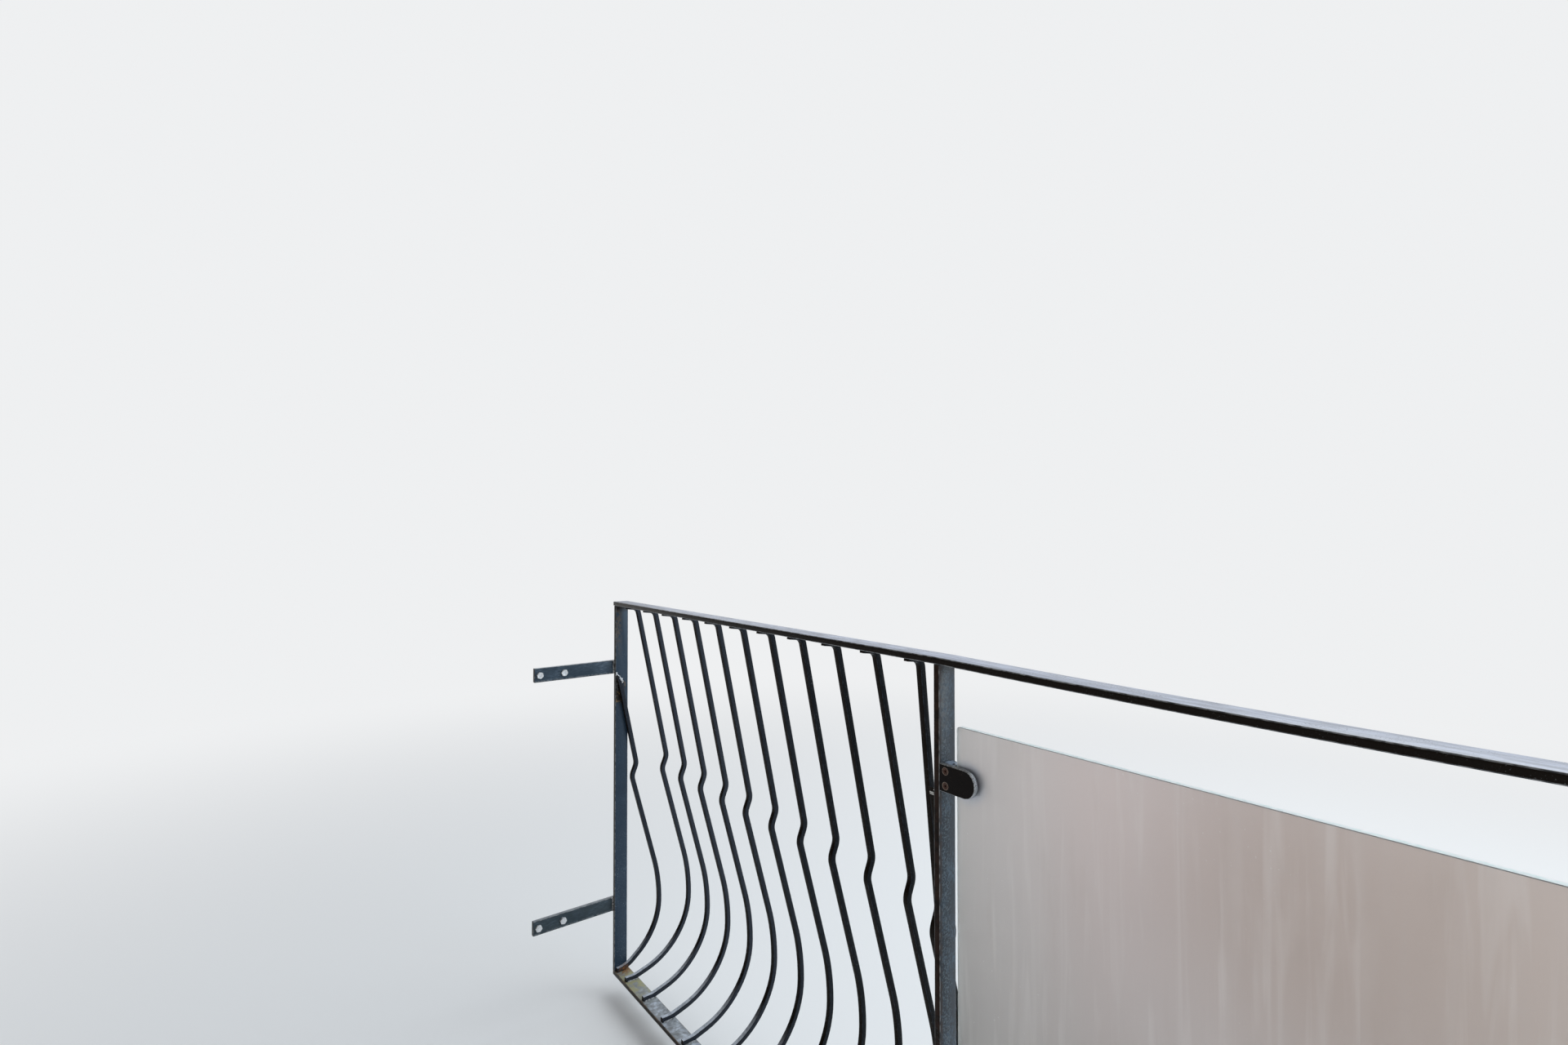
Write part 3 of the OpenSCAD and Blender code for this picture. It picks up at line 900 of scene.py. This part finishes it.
def whole_bar(inwards, belly_h):
    leg_h = ceiling_h + BAR / 2
    leg = [(END_OUT, leg_h - LEG_TIP, 0), (LEG_OUT, leg_h - LEG_ROOT, LEG_BEND)]
    belly = [(BELLY_OUT - inwards, belly_h, BELLY_BEND)]
    return leg + kink(inwards, 0) + belly + WHOLE_TAIL


def cut_bar(inwards, drop):
    kinked = kink(inwards, drop)
    slant = Vector((CUT_OUT - kinked[0][0], CUT_H - kinked[0][1])).normalized() * 2 * BAR
    past_cut = [(CUT_OUT + slant.x, CUT_H + slant.y, 0)]
    belly = [(BELLY_OUT - inwards, CUT_BELLY_H, BELLY_BEND)]
    return past_cut + kinked + belly + CUT_TAIL


SLOPE = math.sqrt(0.5)
UNDER_RAIL = (spot(0, 0, ceiling_h), Vector((0, 0, 1)))
MITRE = (spot(0, CUT_OUT, CUT_H), Vector((0, -SLOPE, SLOPE)))

# %% Bars
BAR_NAMES = sorted((n for n in frame["nodes"] if n.startswith("bar_") and n[4:].isdigit()),
                   key=lambda n: int(n[4:]))
EDGE_R = 0.9
BEND_STEPS = 14


def bent_bar(node, corners, cut):
    along = sum(stretch(node)) / 2
    points = [spot(along, out, height) for out, height, _ in corners]
    links = [(i, i + 1) for i in range(len(points) - 1)]
    swept = mesh_from(bar_tree, {
        "Side": BAR * MM, "Edge Radius": EDGE_R * MM, "Steps": BEND_STEPS,
        "Finish": bars_black[0]}, points, links, [bend * MM for _, _, bend in corners])
    bm = bmesh.new()
    bm.from_mesh(swept)
    trimmed = bmesh.ops.bisect_plane(
        bm, geom=everything(bm), plane_co=cut[0], plane_no=cut[1], clear_outer=True)["geom_cut"]
    bmesh.ops.edgenet_fill(bm, edges=[e for e in trimmed if isinstance(e, bmesh.types.BMEdge)])
    bmesh.ops.recalc_face_normals(bm, faces=bm.faces)
    sort_faces(bm, lambda n: 0.08 < abs(n.x) < 0.98, lambda n: n.y + n.z > 0.3)
    name = node + "_bent"
    finishes = [bars_black[0], bar_edge, bars_black[1]]
    return finished(name, to_mesh(bm, name), finishes, "steel", node)


bars = [bent_bar(node, whole_bar(inwards=0, belly_h=53), UNDER_RAIL) for node in BAR_NAMES[:-1]]
bars.append(bent_bar(BAR_NAMES[-1], whole_bar(inwards=50, belly_h=72), UNDER_RAIL))
bars.append(bent_bar("end_bar", cut_bar(inwards=71, drop=25), MITRE))
bars.append(bent_bar("middle_end_bar", cut_bar(inwards=86, drop=6), MITRE))
for made, node in zip(bars[-4:], BAR_NAMES[-2:] + ["end_bar", "middle_end_bar"]):
    low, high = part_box(node)
    print(node, "solid and bent bar, mm:", [round(x / MM, 1) for x in high - low],
          [round(x / MM, 1) for x in made.dimensions])

# %% [markdown]
# ## Glass
#
# The sheet has flat ground edges with a small arris, the narrow slope that takes the sharpness
# off. Faces and edge get their own finishes, and the arris on the room side of the top edge is
# painted darker: a painted reflection of the room.

# %% Glass sheet
ARRIS = 0.8


def around_a_face(e):
    level = abs(e.verts[0].co.y - e.verts[1].co.y) < TOUCHING
    return level and e.calc_face_angle(0.0) > SHARP


def glass_sheet():
    bm = merged_copy("glass_panel")
    round_edges(bm, [e for e in bm.edges if around_a_face(e)], ARRIS, 1)
    bm.normal_update()
    for face in bm.faces:
        face.material_index = 0 if abs(face.normal.y) > 0.99 else 1
        if face.normal.y > 0.3 and face.normal.z > 0.3:
            face.material_index = 2
    mesh = to_mesh(bm, "frosted_sheet")
    return finished(mesh.name, mesh, [glass, edge, arris], "frosted_glass", "glass_panel")


sheet = glass_sheet()
print("glass faces:", len(sheet.data.polygons))

# %% [markdown]
# ## Clamps
#
# Each clamp is a cast shell: a D with a chamfered rim. The rounded side is where hands and weather
# took the enamel off, so the side and chamfer of the covers get the worn finish, and the bodies
# only their chamfer.

# %% Clamp shells
RIM_IN = 2.2 * MM


def clamp_shell(node):
    bm = merged_copy(node)
    bm.normal_update()
    cover = node.endswith("_cover")
    centre, half = nose_centre(node.rsplit("_clamp", 1)[0])
    for face in bm.faces:
        off = face.calc_center_median() - centre
        in_screw = off.xz.length < half - RIM_IN
        past_hole = abs(off.x) > half + 0.5 * MM and abs(off.z) < half - RIM_IN
        slanted = abs(face.normal.y) < (0.95 if cover else 0.8)
        outer = not in_screw and not past_hole
        chamfer = abs(face.normal.y) > 0.2
        face.material_index = 1 if slanted and outer and (cover or chamfer) else 0
    name = node + "_cast"
    return finished(name, to_mesh(bm, name), [enamel, rim], "clamp_black", node)


shells = [clamp_shell(c + part) for c in CLAMPS for part in ("_clamp_cover", "_clamp_body")]
for c in CLAMPS:
    pads = frame["nodes"][c + "_clamp_gaskets"].data
    pads.materials.clear()
    pads.materials.append(rubber)
print("clamp shells:", len(shells))

# %% [markdown]
# ## Fasteners
#
# A hexagon bolt head is a hexagon turned down at 30 degrees, so its flat top is a circle and its
# corners dip. That is one height for each angle, and `ring` gives the points. `rings_to_form` lays
# a skin through several rings. One tree then sets any fastener on its holes, each turned by its
# own random angle, as no two are ever tightened alike.

# %% Turned forms
AROUND = 48
HEX_FLATS = 17.0
HEX_TURN = math.radians(30)
HEAD_H = 6.4
DISC = HEX_FLATS * 0.475
SHANK = 5.2
SOCKET = 4.0


def rings_to_form(name, rings, closed=False):
    bm = bmesh.new()
    rows = []
    for point in rings:
        rows.append([bm.verts.new(point(2 * math.pi * k / AROUND)) for k in range(AROUND)])
    for lower, upper in zip(rows, rows[1:] + (rows[:1] if closed else [])):
        for k in range(AROUND):
            n = (k + 1) % AROUND
            bm.faces.new((lower[k], lower[n], upper[n], upper[k]))
    if not closed:
        bm.faces.new(list(reversed(rows[0])))
        bm.faces.new(rows[-1])
    bmesh.ops.recalc_face_normals(bm, faces=bm.faces)
    return bpy.data.objects.new(name, to_mesh(bm, name))


def hexagon(angle, flats):
    return flats / 2 / math.cos((angle + HEX_TURN) % (2 * HEX_TURN) - HEX_TURN)


def ring(radius, height, flats=None, dip=0.0):
    def point(angle):
        r = hexagon(angle, flats) if flats else radius
        z = height - dip * max(0.0, r - radius)
        return (r * math.cos(angle) * MM, r * math.sin(angle) * MM, z * MM)
    return point


bolt_form = rings_to_form("bolt_form", [
    ring(SHANK, -11.5), ring(SHANK, 0.0), ring(DISC, 0.0), ring(0, 0.4, HEX_FLATS),
    ring(DISC, HEAD_H, HEX_FLATS, math.tan(HEX_TURN)), ring(DISC, HEAD_H),
    ring(DISC - 0.9, HEAD_H - 0.2)])
screw_form = rings_to_form("screw_form", [
    ring(3.1, -7.6), ring(3.1, -3.0), ring(5.75, -0.35), ring(5.6, -0.1), ring(2.9, -0.1),
    ring(0, -0.4, SOCKET), ring(0, -2.8, SOCKET)])
rim_form = rings_to_form("rim_form", [
    ring(6.4, -0.3), ring(6.4, 0.06), ring(5.85, 0.06), ring(5.6, -0.5)], closed=True)
print("bolt and screw faces:", len(bolt_form.data.polygons), len(screw_form.data.polygons))

# %% The setting tree


def setting_tree():
    g, given = shape_tree("set_fasteners", {"Form": "Object", "Tilt": "Vector", "Seed": "Int"})
    form = g.node("GeometryNodeObjectInfo", {}, {"Object": given["Form"]}, output="Geometry")
    spin = g.node("ShaderNodeCombineXYZ", {}, {
        "Z": g.random(0.0, 2 * HEX_TURN, given["Seed"])})
    standing = g.instances(given["Geometry"], form, Rotation=given["Tilt"])
    turned = g.node("GeometryNodeRotateInstances", {}, {
        "Instances": standing, "Rotation": spin, "Local Space": True})
    return close_tree(g, given, turned)


fastener_tree = setting_tree()


def set_fasteners(name, form, places, tilt, seed, finish, slot):
    mesh = mesh_from(fastener_tree, {
        "Form": form, "Tilt": tilt, "Seed": seed, "Finish": finish}, places)
    return finished(name, mesh, [finish], slot)


# %% Bolts and screws
holes = {m["name"]: m for m in frame["record"]["mounts"] if m["kind"] == "bolt_pattern"}
for seed, (end, way) in enumerate((("bar_end", -1), ("glass_end", 1))):
    places = []
    for level in ("upper", "lower"):
        mount = holes[end + "_" + level + "_bolts"]
        centre = Vector(mount["pos_m"])
        half = mount["dims"]["spacing_x_mm"] * MM / 2
        places += [centre + Vector((way * BRACKET_T * MM, side * half, 0)) for side in (-1, 1)]
    into_wall = (0, way * math.pi / 2, 0)
    set_fasteners(end + "_bolts", bolt_form, places, into_wall, 3 + seed, zinc, "steel")
    print(end, "bolts:", len(places))

screw_places = []
SCREW_IN = 12.0
SCREW_PITCH = 24.0
for c in CLAMPS:
    low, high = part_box(c + "_clamp_cover")
    at_middle = c.startswith("middle")
    x = high.x - SCREW_IN * MM if at_middle else low.x + SCREW_IN * MM
    for side in (-1, 1):
        z = (low.z + high.z) / 2 + side * SCREW_PITCH / 2 * MM
        screw_places.append(Vector((x, high.y, z)))
TO_ROOM = (-math.pi / 2, 0, 0)
set_fasteners("clamp_screws", screw_form, screw_places, TO_ROOM, 11, screw_brown, "clamp_black")
set_fasteners("clamp_screw_rims", rim_form, screw_places, TO_ROOM, 12, ring_tan, "clamp_black")
print("clamp screws:", len(screw_places))

# %% [markdown]
# ## Welds
#
# Every steel joint is welded by hand and painted over. A bead is a line of overlapping drops that
# freeze one by one: here a line along the joint, a round section whose size rises and falls with
# each drop and fades at the ends, and a little noise. Half of it is buried in the joint.

# %% The bead tree


def bead_tree():
    g, given = shape_tree("weld_bead", {
        "Size": "Float", "Drop": "Float", "Lumps": "Float", "Seed": "Float"})
    line = g.node("GeometryNodeMeshToCurve", {}, {"Mesh": given["Geometry"]})
    fine = g.node("GeometryNodeResampleCurve", {"mode": "LENGTH"}, {
        "Curve": line, "Length": given["Drop"] * 0.25})
    run = g.node("GeometryNodeSplineParameter", output="Length")
    share = g.node("GeometryNodeSplineParameter", output="Factor")
    wave = g.node(MATHS, {"operation": "SINE"}, {0: run / given["Drop"] * (2 * math.pi)})
    ends = (share * (1 - share) * 9.0).held() ** 0.5
    ripple = g.node("ShaderNodeTexNoise", {"noise_dimensions": "4D"}, {
        "Vector": g.node("GeometryNodeInputPosition"), "W": given["Seed"],
        "Scale": 130.0, "Detail": 1.0})
    size = given["Size"] * (0.25 + 0.75 * ends) * (0.75 + given["Lumps"] * wave + 0.5 * ripple)
    section = g.node("GeometryNodeCurvePrimitiveCircle", {}, {"Resolution": 10, "Radius": 1.0})
    return close_tree(g, given, g.swept(fine, section, Scale=size))


weld_tree = bead_tree()


def weld_beads(name, lines, size, drop, seed, finish, lumps=0.05):
    points = [p for line in lines for p in line]
    links = [(2 * k, 2 * k + 1) for k in range(len(lines))]
    mesh = mesh_from(weld_tree, {
        "Size": size * MM, "Drop": drop * MM, "Lumps": lumps, "Seed": seed,
        "Finish": finish}, points, links)
    return finished(name, mesh, [finish], "steel")


# %% Beads at the joints
OFF = 0.4
ON_SILL, UNDER_TOP = OFF, ceiling_h - OFF
bar_middles = [sum(stretch(node)) / 2 for node in BAR_NAMES]
bar_sides = [u + way * (BAR / 2 + OFF) for u in bar_middles for way in (-1, 1)]
post_sides = [WALL_POST[1] + OFF, MIDDLE_POST[0] - OFF, MIDDLE_POST[1] + OFF, FAR_POST[0] - OFF]


def outwards(sides, near, far, height):
    return [(spot(side, near, height), spot(side, far, height)) for side in sides]


tail_lines = outwards(bar_sides, 8, 40, ON_SILL)
head_lines = outwards(bar_sides, 8, 33, UNDER_TOP)
weld_beads("bar_tail_welds", tail_lines, size=2.0, drop=3.0, seed=1.0, finish=weld_grey)
weld_beads("bar_head_welds", head_lines, size=2.2, drop=3.0, seed=2.0, finish=weld_black)

post_heads = outwards(post_sides, 2, 38, UNDER_TOP)
post_feet = outwards(post_sides, 2, 38, ON_SILL)
weld_beads("post_head_welds", post_heads, size=2.0, drop=4.0, seed=3.0, finish=weld_black)
weld_beads("post_foot_welds", post_feet, size=3.2, drop=4.0, seed=3.0, finish=weld_black)

# %% [markdown]
# The brackets are welded to the posts in the corner that shows from the room, the end bars all
# along their mitred tops. These beads are fatter and lumpier, and they stayed pale.

# %% Bracket and mitre beads
CORNER = 0.6
bracket_lines = []
for along in (WALL_POST[0] + CORNER, FAR_POST[1] - CORNER):
    for height in BRACKET_HEIGHTS:
        bracket_lines.append([spot(along, -CORNER, height + end * BRACKET_HALF) for end in (-1, 1)])
weld_beads("bracket_welds", bracket_lines,
           size=3.0, drop=6.0, seed=4.0, finish=weld_grey, lumps=0.10)


def along_mitre(along, shift):
    return spot(along, CUT_OUT + shift * SLOPE, CUT_H - shift * SLOPE + 0.5)


end_u, middle_end_u = (sum(stretch(n)) / 2 for n in ("end_bar", "middle_end_bar"))
far_side = middle_end_u + BAR / 2 - 0.8
mitre_lines = [(spot(end_u - 1, -1, 889), spot(end_u + 3, 9, 880)),
               (spot(end_u + 4, 8, 879), spot(end_u + 5.5, 18, 866)),
               (along_mitre(far_side, -9), along_mitre(far_side, 10))]
weld_beads("mitre_welds", mitre_lines,
           size=3.0, drop=7.0, seed=5.0, finish=spatter_white, lumps=0.12)
side_lines = [(spot(WALL_POST[1] + 0.5, 4, 864), spot(WALL_POST[1] + 0.5, 7, 836))]
weld_beads("end_bar_side_weld", side_lines,
           size=3.0, drop=6.0, seed=6.0, finish=weld_black, lumps=0.25)
print("beads:", len(tail_lines + head_lines + post_heads + post_feet
                    + bracket_lines + mitre_lines + side_lines))

# %% [markdown]
# Spatter is drops of weld metal that flew off and froze on the steel. The tree takes a few places,
# makes several points of each, throws them about within a given spread, and sets a small ball on
# each, no two of one size.

# %% The spatter tree


def spatter_tree():
    g, given = shape_tree("spatter", {
        "Copies": "Int", "Spread": "Vector", "Drop": "Float", "Seed": "Int"})
    points = g.node("GeometryNodeMeshToPoints", {}, {"Mesh": given["Geometry"]})
    many = g.node("GeometryNodeDuplicateElements", {"domain": "POINT"}, {
        "Geometry": points, "Amount": given["Copies"]})
    throw = g.node("FunctionNodeRandomValue", {"data_type": "FLOAT_VECTOR"}, {
        "Min": (-1, -1, -1), "Max": (1, 1, 1), "Seed": given["Seed"]}, output=0)
    offset = g.vectors("MULTIPLY", throw, given["Spread"], output="Vector")
    thrown = g.node("GeometryNodeSetPosition", {}, {"Geometry": many, "Offset": offset})
    size = g.random(0.35, 1.0, given["Seed"] + 1)
    ball = g.node("GeometryNodeMeshIcoSphere", {}, {"Radius": given["Drop"], "Subdivisions": 2})
    return close_tree(g, given, g.instances(thrown, ball, Scale=size))


drop_tree = spatter_tree()


def spatter(name, places, copies, spread, drop, seed, finish):
    mesh = mesh_from(drop_tree, {
        "Copies": copies, "Spread": tuple(s * MM for s in spread), "Drop": drop * MM,
        "Seed": seed, "Finish": finish}, places)
    return finished(name, mesh, [finish], "steel")


# %% Drops round the welds
mitre_drops = [spot(end_u + 1, -1, 890), spot(end_u + 4, 7, 881), spot(end_u + 5, 14, 872),
               spot(end_u + 5, 19, 864)]
spatter("mitre_drops", mitre_drops,
        copies=5, spread=(1.5, 3.2, 3.0), drop=2.8, seed=21, finish=spatter_white)
corner_drops = []
for post_edge in (WALL_POST[0], FAR_POST[1]):
    for height in BRACKET_HEIGHTS:
        corner_drops += [spot(post_edge, out, height + BRACKET_HALF - 1) for out in (-7, -1.5)]
spatter("corner_drops", corner_drops,
        copies=3, spread=(0.8, 3.0, 1.2), drop=1.7, seed=22, finish=spatter_white)
tail_drops = [spot(u + way * (BAR / 2 + 2), 24, 0) for u in bar_middles for way in (-1, 1)]
spatter("tail_drops", tail_drops,
        copies=4, spread=(2.5, 14.0, 0.2), drop=1.1, seed=23, finish=weld_grey)
post_drops = [spot(WALL_POST[1], 20, 900), spot(WALL_POST[1], 20, 120),
              spot(MIDDLE_POST[1], 20, 1030)]
spatter("post_drops", post_drops,
        copies=5, spread=(0.1, 14.0, 60.0), drop=0.6, seed=24, finish=weld_grey)
print("drop places:", len(mitre_drops + corner_drops + tail_drops + post_drops))
